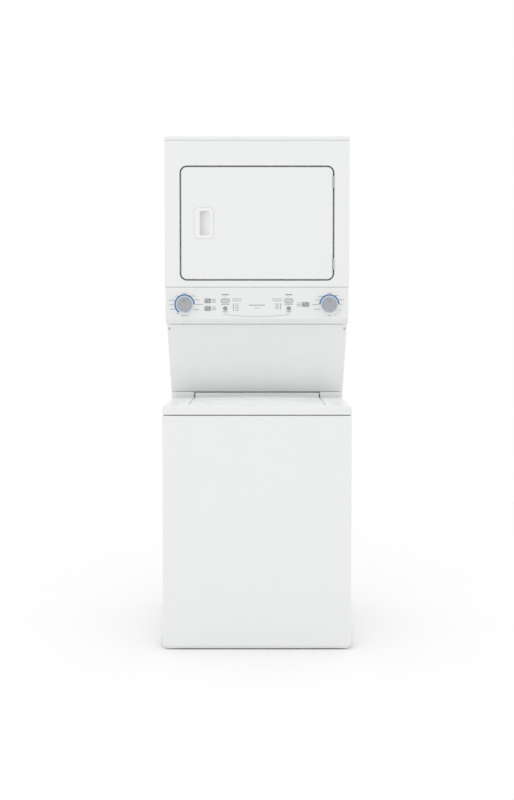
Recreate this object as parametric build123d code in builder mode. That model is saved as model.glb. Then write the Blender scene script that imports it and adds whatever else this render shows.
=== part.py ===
"""Stacked washer and dryer: a top-loading washer with a front-opening dryer above it.

The frame stands on the floor. X runs to the right and Y from the front to the back, Z is up,
and the origin is on the floor, under the middle of the overall box. Millimetres throughout.
"""

import os
from math import cos, hypot, radians, sin

from build123d import *

os.makedirs("parts", exist_ok=True)

# Overall size
width = 686.0  # the 27 inch cabinet
height = 1877.0
depth = 800.0  # washer front to the end of the exhaust collar
cabinet_depth = 768.0
sheet = 1.0  # outer steel panels
inner_sheet = 1.5  # bulkheads, floors and the base pan

half = width / 2
front = -depth / 2
rear = front + cabinet_depth

# Washer heights
floor_gap = 9.0  # under the front panel
base_z = 14.0
seam_z = 855.0  # front panel below, deck skirt above
deck_z = 886.0
step_z = 907.0  # raised rear part of the deck, which carries the dryer
step_y = front + 475.0

# Dryer and console
dryer_front = front + 134.0
dryer_z = 1320.0  # lower edge of the dryer's front panel
console_half = 339.5
console_front = dryer_front - 2.0
console_z = (1182.0, 1319.0)
console_face_z = 1201.0  # where the face turns back into the sloping underside
slant_top = (front + 252.0, 1180.0)  # (y, z) of the recess panel's upper edge
slant_foot = (step_y, step_z + 1.5)
slant_lean = (slant_foot[0] - slant_top[0]) / (slant_top[1] - slant_foot[1])  # back per mm down
flank_setback = 1.8  # from the recess panel's face back to the side panels' flanges
flank_top = (slant_top[0] + flank_setback, slant_top[1])
flank_foot = (slant_foot[0] + slant_lean * (slant_foot[1] - step_z) + flank_setback, step_z)

# Door
door_size = (562.0, 414.0)
door_z = 1556.0
door_gap = 6.0
door_radius = 21.0
door_back = dryer_front + 26.0
recess_back = dryer_front + 31.5
mouth_size = (440.0, 320.0)  # way into the drum
mouth_radius = 120.0
hinge_x = door_size[0] / 2 + door_gap / 2
hinge_y = dryer_front - 1.0
hinge_heights = (1405.0, 1708.0)
handle_x = -195.0

# Drum and its drive
drum_radius = 295.0
drum_z = 1560.0
drum_y = (dryer_front + 66.0, dryer_front + 551.0)
drum_sheet = 0.8
drum_axle = 12.0
blower_x = 125.0
blower_z = 1150.0
dryer_pulley = 10.0
dryer_belt_y = 250.0
duct_z = 1110.0
dryer_floor_z = 1036.0

# Lid
lid_half = 250.0
lid_front = front + 73.0
lid_crown = 7.0
lid_bar_y = (step_y - 4.0, step_y + 17.0)
lid_bar_z = step_z - 4.0
lid_hinge = (step_y + 7.0, step_z - 8.0)  # (y, z)
lid_pin = 3.0
pocket_floor_z = deck_z - 20.0
deck_sheet = 1.2
strike_y = lid_front + 16.5

# Tub, basket and agitator turn about a vertical axis
tub_y = -75.0
tub_radius = 285.0
tub_z = (190.0, 775.0)
basket_radius = 262.0
basket_z = (212.0, 758.0)
basket_sheet = 1.0
shaft_radius = 12.0
shaft_top = 600.0
spin_tube_radius = 22.0
drive_pulley_radius = 110.0
motor_pulley_radius = 20.0
washer_motor_x = 195.0
belt_z = 79.0
rod_offset = 235.0  # hanger rods stand this far from the tub's axis in x and y
lug_z = 330.0

# Controls, by their place on the console face
dial_x = 269.0
dial_z = 1255.0
dial_radius = 29.0
upper_row_z = 1268.5
lower_row_z = 1240.0
start_x = 118.0
groove_half = 123.0  # shallow curved groove low on the console's face
groove_z = (1218.5, 1210.3)  # at its ends and its middle
selector_size = (22.0, 15.0)
selector_x = -183.0
heat_x = 180.0
heat_size = (26.0, 15.0)
oval_size = (32.0, 16.0)
round_radius = 7.5
light_x = 87.5
light_size = 3.6
light_pitch = 5.8
light_top_z = 1256.5
running_gap = 0.1  # between a shaft and its bore
travel_gap = 0.4  # around a button in its hole

foot_places = [(x, y) for y in (front + 50.0, rear - 48.0) for x in (-276.0, 276.0)]
water_ports = [(-250.0, 800.0), (-180.0, 800.0)]
drain_port = (-225.0, 110.0)
cord_hole = (220.0, 1022.0)
cord_hole_radius = 17.5
flange_x = 335.0  # screws through the side panels' flanges
recess_screw_share = 0.94  # how far up the recess panel they sit
rear_screw_heights = range(930, 1860, 180)


def span_box(x, y, z, mode=Mode.ADD):
    """A box given by its span along each axis."""
    with Locations(((x[0] + x[1]) / 2, (y[0] + y[1]) / 2, (z[0] + z[1]) / 2)):
        Box(x[1] - x[0], y[1] - y[0], z[1] - z[0], mode=mode)


def side_prism(points, x, mode=Mode.ADD):
    """A closed (y, z) outline carried along X between the two values of x."""
    with BuildSketch(Plane.YZ.offset(x[0])) as outline:
        with BuildLine():
            Polyline(*points, close=True)
        make_face()
    extrude(outline.sketch, x[1] - x[0], mode=mode)


def plan_prism(points, z, mode=Mode.ADD):
    """A closed (x, y) outline carried up between the two values of z."""
    with BuildSketch(Plane.XY.offset(z[0])) as outline:
        with BuildLine():
            Polyline(*points, close=True)
        make_face()
    extrude(outline.sketch, z[1] - z[0], mode=mode)


def rounded_slab(size, radius, centre, y, mode=Mode.ADD):
    """A rounded rectangle that faces the front, between the two values of y."""
    with BuildSketch(Plane.XZ.offset(-y[0])) as outline:
        with Locations(centre):
            RectangleRounded(*size, radius)
    extrude(outline.sketch, y[0] - y[1], mode=mode)


def bar(radius, start, end, mode=Mode.ADD):
    """A round bar between two points."""
    start, end = Vector(start), Vector(end)
    with Locations(Plane(origin=start, z_dir=end - start)):
        Cylinder(radius, (end - start).length, align=(Align.CENTER, Align.CENTER, Align.MIN), mode=mode)


def turned(points, centre, z_dir=(0, 0, 1), mode=Mode.ADD):
    """A closed (radius, height) outline spun about the line through centre along z_dir."""
    x_dir = (1, 0, 0)
    side = Plane(origin=centre, x_dir=x_dir, z_dir=Vector(x_dir).cross(Vector(z_dir)))
    with BuildSketch(side) as outline:
        with BuildLine():
            Polyline(*points, close=True)
        make_face()
    revolve(outline.sketch, Axis(centre, z_dir), mode=mode)


def belt_loop(plane, far, radii, thickness, length):
    """A belt of the given width round two pulleys, the second one at far in the plane."""
    gap = travel_gap
    with BuildSketch(plane) as loop:
        for grow, mode in ((gap + thickness, Mode.ADD), (gap, Mode.SUBTRACT)):
            with BuildSketch(plane, mode=Mode.PRIVATE) as round_both:
                with BuildLine():
                    CenterArc((0, 0), radii[0] + grow, 0, 360)
                    CenterArc(far, radii[1] + grow, 0, 360)
                make_hull()
            add(plane.to_local_coords(round_both.sketch), mode=mode)
    extrude(loop.sketch, length / 2, both=True)


def finish(piece, name):
    """Names a finished piece and writes its STEP file."""
    piece.part.label = name
    export_step(piece.part, f"parts/{name}.step")


def recess_point(share, out):
    """(y, z) up the slanted recess panel, 0 at its foot and 1 at its top, out from its face."""
    run_y, run_z = slant_top[0] - slant_foot[0], slant_top[1] - slant_foot[1]
    length = hypot(run_y, run_z)
    return (slant_foot[0] + share * run_y - out * run_z / length,
            slant_foot[1] + share * run_z + out * run_y / length)


# --- Washer cabinet -------------------------------------------------------------------------

with BuildPart() as washer_cabinet:
    wrap_y = (front + 26, rear)
    wrap_depth = wrap_y[1] - wrap_y[0]
    with BuildSketch(Plane.XY.offset(base_z)):
        with Locations((0, sum(wrap_y) / 2)):
            RectangleRounded(width, wrap_depth, 6)
            RectangleRounded(width - 2 * sheet, wrap_depth - 2 * sheet, 6 - sheet, mode=Mode.SUBTRACT)
        with Locations((0, wrap_y[0])):
            Rectangle(width - 50, 10, mode=Mode.SUBTRACT)
    extrude(amount=seam_z + 1 - base_z)
    for x, z in water_ports:
        bar(16, (x, rear - 10, z), (x, rear + 10, z), mode=Mode.SUBTRACT)
    bar(17, (drain_port[0], rear - 10, drain_port[1]), (drain_port[0], rear + 10, drain_port[1]),
        mode=Mode.SUBTRACT)
finish(washer_cabinet, "washer_cabinet")

with BuildPart() as washer_front_panel:
    span_box((-half, half), (front, front + 26), (floor_gap, seam_z - 2))
    skin = washer_front_panel.faces().sort_by(Axis.Y)[0]
    fillet(skin.edges().filter_by(Axis.Z), 8)
    fillet(washer_front_panel.edges().group_by(Axis.Y)[0].sort_by(Axis.Z)[0], 7)
    fillet(washer_front_panel.edges().group_by(Axis.Y)[0].sort_by(Axis.Z)[-1], 3)
    offset(amount=-sheet, openings=washer_front_panel.faces().sort_by(Axis.Y)[-1])
finish(washer_front_panel, "washer_front_panel")

with BuildPart() as washer_base:
    pan_x, pan_y = half - sheet - 0.5, (front + 29, rear - sheet - 0.5)
    span_box((-pan_x, pan_x), pan_y, (base_z, base_z + 30))
    fillet(washer_base.edges().filter_by(Axis.Z), 6)
    span_box((inner_sheet - pan_x, pan_x - inner_sheet), (pan_y[0] + inner_sheet, pan_y[1] - inner_sheet),
             (base_z + inner_sheet, base_z + 40), mode=Mode.SUBTRACT)
    with Locations((0, sum(pan_y) / 2, base_z)):
        with GridLocations(160, 160, 3, 3):
            Hole(60)
    with Locations(*[(x, y, base_z + inner_sheet) for x, y in foot_places]):
        Cylinder(14, 9, align=(Align.CENTER, Align.CENTER, Align.MIN))
        Hole(5 + running_gap)
finish(washer_base, "washer_base")

def deck_body(inset):
    """The deck's stepped outline, drawn in by inset all round, with its front edges rounded."""
    x = half - inset
    y = (front + inset, rear - inset)
    side_prism([(y[0], skirt_z), (y[0], deck_z - inset), (step_y + inset, deck_z - inset),
                (step_y + inset, step_z - inset), (y[1], step_z - inset), (y[1], skirt_z)], (-x, x))


skirt_z = seam_z + 1
with BuildPart() as deck_hollow:
    deck_body(deck_sheet)
    fillet(deck_hollow.edges().filter_by(Axis.X).group_by(Axis.Y)[0].sort_by(Axis.Z)[-1], 6)
    fillet(deck_hollow.edges().filter_by(Axis.Z).group_by(Axis.Y)[0], 6)

with BuildPart() as washer_deck:
    deck_body(0)
    fillet(washer_deck.edges().filter_by(Axis.X).group_by(Axis.Y)[0].sort_by(Axis.Z)[-1], 8)
    fillet(washer_deck.edges().filter_by(Axis.Z).group_by(Axis.Y)[0], 8)
    add(deck_hollow.part, mode=Mode.SUBTRACT)
    pocket_x, pocket_y = lid_half + 3, (lid_front - 3, lid_bar_y[1] + 4)
    tray_x, tray_y = pocket_x + deck_sheet, (pocket_y[0] - deck_sheet, pocket_y[1] + deck_sheet)
    tray_z = pocket_floor_z - deck_sheet
    side_prism([(tray_y[0], tray_z), (tray_y[0], deck_z), (step_y, deck_z), (step_y, step_z),
                (tray_y[1], step_z), (tray_y[1], tray_z)], (-tray_x, tray_x))
    span_box((-pocket_x, pocket_x), pocket_y, (pocket_floor_z, step_z + 10), mode=Mode.SUBTRACT)
    with BuildSketch(Plane.XY.offset(tray_z - 5)):
        with Locations((0, -125)):
            RectangleRounded(430, 345, 60)
    extrude(amount=20, mode=Mode.SUBTRACT)
    bar(lid_pin + running_gap, (-tray_x - 1, *lid_hinge), (tray_x + 1, *lid_hinge), mode=Mode.SUBTRACT)
    span_box((-9, 9), (strike_y - 9, strike_y + 9), (tray_z - 1, pocket_floor_z + 1), mode=Mode.SUBTRACT)
finish(washer_deck, "washer_deck")

with BuildPart() as lid_lock:
    span_box((-24, 24), (strike_y - 12, strike_y + 12), (tray_z - 26, tray_z))
    span_box((-9, 9), (strike_y - 9, strike_y + 9), (tray_z - 14, tray_z + 1), mode=Mode.SUBTRACT)
finish(lid_lock, "lid_lock")


# --- Washer lid -----------------------------------------------------------------------------

def crowned_body(half_width, y, z_low, z_top, crown):
    """A slab whose top is straight at the front and arched at the back."""
    sections = []
    for place, rise in ((y[0], crown * 0.02), (y[1], crown)):
        with BuildSketch(Plane.XZ.offset(-place)) as section:
            with BuildLine():
                Polyline((half_width, z_top), (half_width, z_low), (-half_width, z_low),
                         (-half_width, z_top))
                ThreePointArc((-half_width, z_top), (0, z_top + rise), (half_width, z_top))
            make_face()
        sections.append(section.sketch)
    loft(sections)


with BuildPart() as lid_hollow:
    crowned_body(lid_half - 2, (lid_front + 2, lid_bar_y[0] + 2), deck_z - 30, deck_z - 2, lid_crown)

with BuildPart() as washer_lid:
    crowned_body(lid_half, (lid_front, lid_bar_y[0]), deck_z - 16, deck_z, lid_crown)
    span_box((2.5 - lid_half, lid_half - 2.5), lid_bar_y, (deck_z - 16, lid_bar_z))
    fillet(washer_lid.edges().filter_by(Axis.X).group_by(Axis.Z)[-1], 2.5)
    add(lid_hollow.part, mode=Mode.SUBTRACT)
    for side in (-1, 1):
        bar(lid_pin, (side * (lid_half - 6), *lid_hinge), (side * (lid_half + 5.5), *lid_hinge))
finish(washer_lid, "washer_lid")

with BuildPart() as lid_liner:
    liner_x = lid_half - 2.5
    span_box((-liner_x, liner_x), (lid_front + 2.5, lid_bar_y[0] + 1.5), (deck_z - 17.5, deck_z - 14))
    liner_frame = (lid_front + 34, lid_bar_y[0] - 30)
    span_box((-liner_x + 34, liner_x - 34), liner_frame, (deck_z - 16, deck_z - 10), mode=Mode.SUBTRACT)
    span_box((-liner_x + 30, liner_x - 30), (liner_frame[0] - 4, liner_frame[1] + 4),
             (deck_z - 10, deck_z - 8))
    span_box((-liner_x + 30, liner_x - 30), (liner_frame[0] - 4, liner_frame[1] + 4),
             (deck_z - 14, deck_z - 10))
    span_box((-liner_x + 34, liner_x - 34), liner_frame, (deck_z - 18, deck_z - 10), mode=Mode.SUBTRACT)
    span_box((-5, 5), (strike_y - 4.5, strike_y + 4.5), (pocket_floor_z - 8, deck_z - 14))
finish(lid_liner, "lid_liner")


# --- Tub, basket, agitator and their drive ------------------------------------------------------

tub_axis = (0, tub_y, 0)
rod_places = [(x * rod_offset, tub_y + y * rod_offset) for x in (-1, 1) for y in (-1, 1)]

with BuildPart() as washer_tub:
    wall = 4
    low, high = tub_z
    turned([(30, low), (tub_radius, low), (tub_radius, high), (tub_radius - wall, high),
            (tub_radius - wall, low + 7), (30, low + 7)], tub_axis)
    with Locations((0, tub_y, 0)):
        with PolarLocations(0, 4, 45):
            with Locations((tub_radius + 32, 0, lug_z + 5)):
                Box(74, 44, 10)
    turned([(0, low + 8), (tub_radius - wall, low + 8), (tub_radius - wall, high), (0, high)],
           tub_axis, mode=Mode.SUBTRACT)
    with Locations(*[(x, y, lug_z + 10) for x, y in rod_places]):
        Hole(7, 30)
finish(washer_tub, "washer_tub")

with BuildPart() as tub_cover:
    skirt = tub_z[1] - 25
    turned([(206, 789), (tub_radius, 789), (tub_radius, skirt), (tub_radius + 3, skirt),
            (tub_radius + 3, 792), (209, 792), (209, 800), (206, 800)], tub_axis)
finish(tub_cover, "tub_cover")

with BuildPart() as wash_basket:
    low, high = basket_z
    inner = basket_radius - basket_sheet
    turned([(spin_tube_radius, low), (basket_radius, low), (basket_radius, high), (236, high),
            (236, high - 26), (236 + basket_sheet, high - 26), (236 + basket_sheet, high - basket_sheet),
            (inner, high - basket_sheet), (inner, low + 1.5), (spin_tube_radius, low + 1.5)], tub_axis)
    turned([(shaft_radius + running_gap, 150), (spin_tube_radius, 150), (spin_tube_radius, low + 12),
            (shaft_radius + running_gap, low + 12)], tub_axis)
finish(wash_basket, "wash_basket")

with BuildPart() as agitator:
    skirt = basket_z[0] + 14
    parting_z = skirt + 46  # the column lifts off the finned base here
    turned([(shaft_radius, skirt), (165, skirt), (165, skirt + 6), (120, skirt + 26), (70, skirt + 70),
            (52, skirt + 140), (46, 600), (50, 612), (50, 650), (42, 668), (20, 676), (0, 676),
            (0, shaft_top), (shaft_radius, shaft_top)], tub_axis)
    turned([(shaft_radius + 4, skirt), (160, skirt), (160, skirt + 3), (117, skirt + 22),
            (66, skirt + 67), (48, skirt + 138), (42, 596), (shaft_radius + 4, 596)],
           tub_axis, mode=Mode.SUBTRACT)
    turned([(shaft_radius, parting_z - 5), (98, parting_z - 5), (93, parting_z), (shaft_radius, parting_z)],
           tub_axis)
    with Locations((0, tub_y, 0)):
        with PolarLocations(0, 4):
            with Locations((105, 0, parting_z - 22)):
                Box(100, 9, 44)
            with Locations((58, 0, 430)):
                Box(26, 8, 300)
    turned([(0, parting_z), (120, parting_z), (120, parting_z + 0.6), (0, parting_z + 0.6)], tub_axis,
           mode=Mode.SUBTRACT)
finish(agitator, "agitator")

with BuildPart() as drive_pulley:
    turned([(0, 66), (shaft_radius, 66), (shaft_radius, shaft_top), (0, shaft_top)], tub_axis)
    pulley_z = (belt_z - 7, belt_z + 7)
    turned([(shaft_radius, pulley_z[0]), (drive_pulley_radius, pulley_z[0]),
            (drive_pulley_radius, pulley_z[1]), (drive_pulley_radius - 8, pulley_z[1]),
            (drive_pulley_radius - 8, pulley_z[0] + 4), (30, pulley_z[0] + 4), (24, pulley_z[1] + 4),
            (shaft_radius, pulley_z[1] + 4)], tub_axis)
    with Locations((0, tub_y, pulley_z[1])):
        with PolarLocations(65, 5):
            Hole(22)
finish(drive_pulley, "drive_pulley")

with BuildPart() as gearcase:
    top = tub_z[0]
    turned([(shaft_radius + running_gap, 96), (40, 96), (72, 110), (72, 168), (120, 180), (120, top),
            (spin_tube_radius + running_gap, top), (spin_tube_radius + running_gap, 149),
            (shaft_radius + running_gap, 149)], tub_axis)
finish(gearcase, "gearcase")

motor_axis = (washer_motor_x, tub_y, 0)
with BuildPart() as washer_motor:
    turned([(8 + running_gap, 96), (40, 96), (62, 104), (62, 178), (46, top), (8 + running_gap, top)],
           motor_axis)
finish(washer_motor, "washer_motor")

with BuildPart() as motor_pulley:
    turned([(0, 68), (motor_pulley_radius, 68), (motor_pulley_radius, 90), (8, 92), (8, 182), (0, 182)],
           motor_axis)
finish(motor_pulley, "motor_pulley")

with BuildPart() as washer_belt:
    belt_loop(Plane(origin=(0, tub_y, belt_z)), (washer_motor_x, 0),
              (drive_pulley_radius, motor_pulley_radius), 4, 10)
finish(washer_belt, "washer_belt")

with BuildPart() as hanger_rods:
    for x, y in rod_places:
        side = 1 if x > 0 else -1
        bar(5, (x, y, 198), (x, y, 836))
        bar(17, (x, y, 200), (x, y, 206))
        span_box(sorted((x - side * 12, side * (half - sheet))), (y - 30, y + 30), (824, 828))
finish(hanger_rods, "hanger_rods")

with BuildPart() as hanger_springs:
    wire_radius = 2
    coil_z = (206.2 + wire_radius, lug_z - 0.2 - wire_radius)
    coil_height = coil_z[1] - coil_z[0]
    for x, y in rod_places:
        with BuildLine(Plane(origin=(x, y, coil_z[0]))) as coil:
            Helix(pitch=coil_height / 9, height=coil_height, radius=11)
        with BuildSketch(Plane(origin=coil.line @ 0, z_dir=coil.line % 0)) as wire:
            Circle(wire_radius)
        sweep(sections=wire.sketch, path=coil.line)
finish(hanger_springs, "hanger_springs")


# --- Washer water system and feet ---------------------------------------------------------------

with BuildPart() as inlet_valve:
    span_box((-275, -155), (rear - 52, rear - 3), (778, 822))
    for x, z in water_ports:
        bar(13.3, (x, rear - 3, z), (x, rear + 16, z))
        bar(9, (x, rear - 30, z), (x, rear + 17, z), mode=Mode.SUBTRACT)
    bar(9, (-215, rear - 30, 778), (-215, rear - 30, 815), mode=Mode.SUBTRACT)
finish(inlet_valve, "inlet_valve")

with BuildPart() as drain_pump:
    x, z = drain_port
    span_box((x - 55, x + 55), (-260, -190), (60, 150))
    bar(36, (x, -190, 105), (x, -130, 105))
    bar(14, (x, -130, z), (x, rear, z))
    bar(15.9, (x, rear, z), (x, rear + 26, z))
    bar(11, (x, -150, z), (x, rear + 27, z), mode=Mode.SUBTRACT)
    span_box((x - 40, x + 40), (-255, -195), (base_z + inner_sheet, 60))
finish(drain_pump, "drain_pump")


with BuildPart() as levelling_feet:
    for x, y in foot_places:
        turned([(0, 0), (20, 0), (20, 6), (12, 9), (5, 9), (5, 62), (0, 62)], (x, y, 0))
finish(levelling_feet, "levelling_feet")


# --- Dryer cabinet ------------------------------------------------------------------------------

with BuildPart() as side_panel_left:
    front_edge = dryer_front + 16
    top_z = height - 15.5
    console_roof = console_z[0] + 3.5
    side_prism([(front_edge, top_z), (front_edge, dryer_z - 1), (dryer_front + 51, dryer_z - 1),
                (dryer_front + 51, console_roof), (slant_top[0] - 2, console_roof), flank_top,
                flank_foot, (rear - sheet - 0.5, flank_foot[1]), (rear - sheet - 0.5, top_z)],
               (-half, 15 - half))
    offset(amount=-sheet, openings=side_panel_left.faces().sort_by(Axis.X)[-1])
    bar(2.1, (-flange_x, *recess_point(recess_screw_share, -10)),
        (-flange_x, *recess_point(recess_screw_share, 10)), mode=Mode.SUBTRACT)
    for z in rear_screw_heights:
        bar(2.1, (-flange_x, rear - 10, z), (-flange_x, rear + 10, z), mode=Mode.SUBTRACT)
finish(side_panel_left, "side_panel_left")

with BuildPart() as side_panel_right:
    add(mirror(side_panel_left.part, Plane.YZ, mode=Mode.PRIVATE))
finish(side_panel_right, "side_panel_right")

with BuildPart() as dryer_top_panel:
    span_box((-half, half), (dryer_front, rear), (height - 15, height))
    fillet(dryer_top_panel.faces().sort_by(Axis.Z)[-1].edges(), 4)
    offset(amount=-sheet, openings=dryer_top_panel.faces().sort_by(Axis.Z)[0])
finish(dryer_top_panel, "dryer_top_panel")

with BuildPart() as dryer_front_panel:
    span_box((-half, half), (dryer_front, dryer_front + 15.5), (dryer_z, height - 16))
    fillet(dryer_front_panel.faces().sort_by(Axis.Y)[0].edges().filter_by(Axis.Z), 5)
    offset(amount=-sheet, openings=dryer_front_panel.faces().sort_by(Axis.Y)[-1])
    opening = (door_size[0] + 2 * door_gap, door_size[1] + 2 * door_gap)
    pan = (opening[0] + 2 * sheet, opening[1] + 2 * sheet)
    rounded_slab(pan, door_radius + door_gap + sheet, (0, door_z), (dryer_front, recess_back))
    rounded_slab(opening, door_radius + door_gap, (0, door_z), (dryer_front - 1, recess_back - sheet),
                 mode=Mode.SUBTRACT)
    rounded_slab(mouth_size, mouth_radius, (0, door_z), (dryer_front, recess_back + 5), mode=Mode.SUBTRACT)
finish(dryer_front_panel, "dryer_front_panel")

with BuildPart() as rear_panel:
    span_box((-half, half), (rear - sheet, rear), (step_z, height - 15.5))
    bar(53, (0, rear - 10, duct_z), (0, rear + 10, duct_z), mode=Mode.SUBTRACT)
    span_box((cord_hole[0] - 30, cord_hole[0] + 30), (rear - 5, rear + 5), (1000, 1090), mode=Mode.SUBTRACT)
    for x in (-215, -135):
        for row in range(9):
            z = 1560 + 22 * row
            span_box((x - 32, x + 32), (rear - 5, rear + 5), (z - 3.5, z + 3.5), mode=Mode.SUBTRACT)
    for x in (-flange_x, flange_x):
        for z in rear_screw_heights:
            bar(2.1, (x, rear - 5, z), (x, rear + 5, z), mode=Mode.SUBTRACT)
finish(rear_panel, "rear_panel")

with BuildPart() as recess_panel:
    run = (slant_top[0] - slant_foot[0], slant_top[1] - slant_foot[1])
    across = sheet * hypot(*run) / run[1]  # the sheet's thickness along Y
    foot_y, foot_z = slant_foot
    top_y, top_z = slant_top
    side_prism([(foot_y, foot_z), (top_y, top_z), (top_y + across, top_z), (foot_y + across, foot_z)],
               (0.5 - half, half - 0.5))
    span_box((-326, 326), (top_y + across, top_y + 24), (top_z - sheet, top_z))
    span_box((-326, 326), (foot_y + across / 2, foot_y + 20), (foot_z, foot_z + sheet))
    for x in (-flange_x, flange_x):
        bar(2.1, (x, *recess_point(recess_screw_share, -5)), (x, *recess_point(recess_screw_share, 5)),
            mode=Mode.SUBTRACT)
finish(recess_panel, "recess_panel")

with BuildPart() as dryer_floor:
    floor_share = (dryer_floor_z - slant_foot[1]) / run[1]
    floor_y = (slant_foot[0] + floor_share * run[0] + 26, rear - 4)
    span_box((-half + 3, half - 3), floor_y, (dryer_floor_z, dryer_floor_z + inner_sheet))
    span_box((-half + 3, half - 3), (floor_y[0], floor_y[0] + inner_sheet),
             (dryer_floor_z, dryer_floor_z + 18))
finish(dryer_floor, "dryer_floor")

with BuildPart() as terminal_cover:
    x, z = cord_hole
    span_box((x - 45, x + 45), (rear, rear + 2), (z - 32, z + 84))
    bar(cord_hole_radius, (x, rear - 5, z), (x, rear + 5, z), mode=Mode.SUBTRACT)
finish(terminal_cover, "terminal_cover")

with BuildPart() as cabinet_screws:
    for x in (-flange_x, flange_x):
        bar(2, (x, *recess_point(recess_screw_share, -8)), (x, *recess_point(recess_screw_share, 0)))
        bar(4, (x, *recess_point(recess_screw_share, 0)), (x, *recess_point(recess_screw_share, 2.4)))
        for z in rear_screw_heights:
            bar(2, (x, rear - 9, z), (x, rear, z))
            bar(4, (x, rear, z), (x, rear + 2.4, z))
finish(cabinet_screws, "cabinet_screws")


# --- Console --------------------------------------------------------------------------------

face_y = console_front + 3  # inside of the console's face
selectors = [("temperature_button", selector_x, upper_row_z), ("soil_button", selector_x, lower_row_z)]
starts = [("washer", -start_x), ("dryer", start_x)]
lights = [(-light_x, light_top_z - light_pitch * row) for row in range(5)]
lights += [(light_x, light_top_z - light_pitch * row) for row in range(4)]

with BuildPart() as console_panel:
    low, high = console_z
    lip_y = dryer_front + 58
    back_y = slant_top[0] - 3
    side_prism([(console_front, high), (console_front, console_face_z), (lip_y, low), (back_y, low),
                (back_y, low + 3), (dryer_front + 50, low + 3), (dryer_front + 50, low + 20),
                (dryer_front + 33, low + 20), (dryer_front + 33, high)],
               (-console_half, console_half))
    fillet(console_panel.edges().filter_by(Axis.X).group_by(Axis.Y)[0], 4)
    cavity = [(face_y, high - 3), (face_y, console_face_z + 2.5), (lip_y, low + 3), (back_y + 9, low + 3),
              (back_y + 9, low + 20), (dryer_front + 60, low + 20), (dryer_front + 60, high - 3)]
    side_prism(cavity, (3 - console_half, console_half - 3), mode=Mode.SUBTRACT)
    for _, x, z in selectors:
        rounded_slab([side + 2 * travel_gap for side in selector_size], 2.5, (x, z),
                     (console_front - 1, face_y + 1), mode=Mode.SUBTRACT)
    rounded_slab([side + 2 * travel_gap for side in heat_size], 2.5, (heat_x, dial_z),
                 (console_front - 1, face_y + 1), mode=Mode.SUBTRACT)
    for _, x in starts:
        rounded_slab([side + 2 * travel_gap for side in oval_size], oval_size[1] / 2,
                     (x, upper_row_z), (console_front - 1, face_y + 1), mode=Mode.SUBTRACT)
        bar(round_radius + travel_gap, (x, console_front - 1, lower_row_z), (x, face_y + 1, lower_row_z),
            mode=Mode.SUBTRACT)
    for side in (-1, 1):
        bar(4, (side * dial_x, console_front - 1, dial_z), (side * dial_x, face_y + 1, dial_z),
            mode=Mode.SUBTRACT)
    for x, z in lights:
        rounded_slab((light_size, light_size), 0.5, (x, z), (console_front - 1, face_y + 1),
                     mode=Mode.SUBTRACT)
    with BuildSketch(Plane.XZ.offset(-console_front)) as groove:
        with BuildLine(mode=Mode.PRIVATE) as smile:
            ThreePointArc((-groove_half, groove_z[0]), (0, groove_z[1]), (groove_half, groove_z[0]))
        SlotArc(smile.edge(), 1.6)
    extrude(groove.sketch, -1.2, mode=Mode.SUBTRACT)
finish(console_panel, "console_panel")

with BuildPart() as indicator_lights:
    for x, z in lights:
        rounded_slab((light_size - 0.2, light_size - 0.2), 0.4, (x, z), (console_front - 0.3, face_y + 3))
finish(indicator_lights, "indicator_lights")

with BuildPart() as control_housing:
    span_box((-228, 228), (console_front + 12, console_front + 27),
             (console_face_z + 5, 1306))
    for x in (-290, -248, -220, 220, 248, 290):
        for z in (dial_z - 26, dial_z + 26):
            bar(3.5, (x, face_y, z), (x, console_front + 14, z))
    for side in (-1, 1):
        x = side * dial_x
        rounded_slab((64, 64), 6, (x, dial_z), (console_front + 12, console_front + 54))
        bar(3.5, (x, console_front + 5, dial_z), (x, console_front + 30, dial_z), mode=Mode.SUBTRACT)
finish(control_housing, "control_housing")


def dial(x, name):
    """A control knob with a skirt, a raised grip across its face and a shaft behind."""
    with BuildPart() as knob:
        turned([(0, 1), (dial_radius + 1, 1), (dial_radius + 1, 4), (dial_radius - 1.5, 6),
                (dial_radius - 3, 24), (dial_radius - 5, 26), (0, 26)],
               (x, console_front, dial_z), z_dir=(0, -1, 0))
        bar(3, (x, console_front - 2, dial_z), (x, console_front + 26, dial_z))
        rounded_slab((5, 44), 2.4, (x, dial_z), (console_front - 28, console_front - 25))
    finish(knob, name)


dial(-dial_x, "washer_dial")
dial(dial_x, "dryer_dial")


def push_button(name, x, z, size, radius):
    """A console button: its cap stands proud and a flange behind the face holds it in."""
    with BuildPart() as button:
        rounded_slab(size, radius, (x, z), (console_front - 2.5, face_y + 6))
        fillet(button.faces().sort_by(Axis.Y)[0].edges(), 0.8)
        rounded_slab((size[0] + 4, size[1] + 4), radius, (x, z), (face_y + 0.4, face_y + 2.4))
    finish(button, name)


for button_name, button_x, button_z in selectors:
    push_button(button_name, button_x, button_z, selector_size, 2)
push_button("heat_button", heat_x, dial_z, heat_size, 2)
for machine, button_x in starts:
    push_button(f"{machine}_start_button", button_x, upper_row_z, oval_size, oval_size[1] / 2 - 0.1)
    push_button(f"{machine}_signal_button", button_x, lower_row_z, (2 * round_radius, 2 * round_radius),
                round_radius - 0.1)


# --- Dryer door ---------------------------------------------------------------------------------

hook_size = (46.0, 96.0)
with BuildPart() as door_panel:
    rounded_slab(door_size, door_radius, (0, door_z), (dryer_front, door_back))
    fillet(door_panel.faces().sort_by(Axis.Y)[0].edges(), 3)
    offset(amount=-sheet, openings=door_panel.faces().sort_by(Axis.Y)[-1])
    rounded_slab((hook_size[0] + 1, hook_size[1] + 1), 5, (handle_x, door_z),
                 (dryer_front - 1, dryer_front + 5), mode=Mode.SUBTRACT)
finish(door_panel, "door_panel")

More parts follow.
